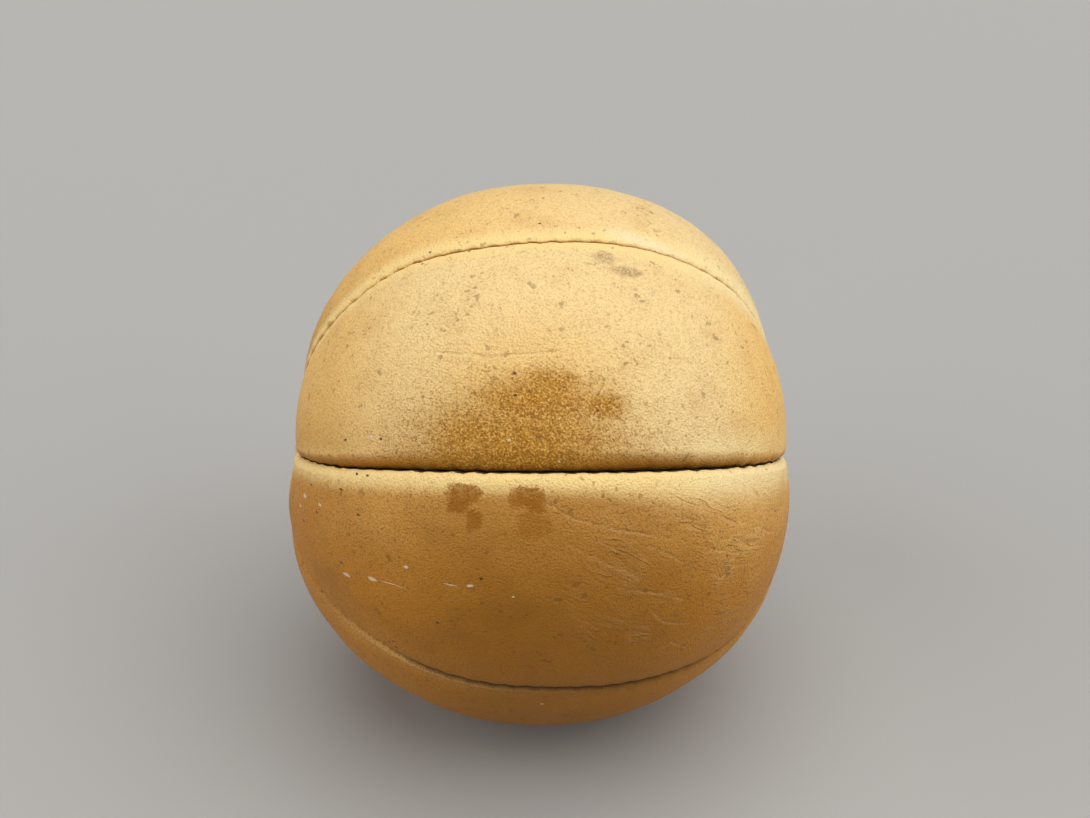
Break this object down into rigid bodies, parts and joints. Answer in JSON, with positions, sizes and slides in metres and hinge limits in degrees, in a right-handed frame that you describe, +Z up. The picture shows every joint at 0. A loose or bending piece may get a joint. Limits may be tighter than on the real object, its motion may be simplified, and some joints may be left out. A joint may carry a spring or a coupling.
{
  "type": "medicine ball",
  "caption": "Stuffed leather medicine ball of pillowed gore panels with round end caps, sewn with turned-in seams, for throwing and lifting exercise.",
  "frame": {"origin": "on the floor under the middle of the ball, in the plane of the flat pressed into the lowest panel", "axes": "+Z up, +X along the pole axis from the left end cap to the right end cap, -Y towards the front panel and the viewer"},
  "size_m": [0.2438, 0.2698, 0.2624],
  "materials": {
    "leather": "worn natural tan leather, matt with a soft sheen",
    "cap_leather": "worn natural tan leather, slightly redder",
    "thread": "dark waxed linen thread",
    "stuffing": "packed fibre"
  },
  "bodies": {
    "root": {"top_panel": "leather", "upper_front_panel": "leather", "front_panel": "leather", "under_front_panel": "leather", "bottom_panel": "leather", "under_back_panel": "leather", "back_panel": "leather", "upper_back_panel": "leather", "left_end_cap": "cap_leather", "right_end_cap": "cap_leather", "top_front_seam_thread": "thread", "front_upper_seam_thread": "thread", "front_lower_seam_thread": "thread", "bottom_front_seam_thread": "thread", "bottom_back_seam_thread": "thread", "back_lower_seam_thread": "thread", "back_upper_seam_thread": "thread", "top_back_seam_thread": "thread", "left_cap_thread": "thread", "right_cap_thread": "thread", "stuffing": "stuffing"}
  },
  "joints": []
}
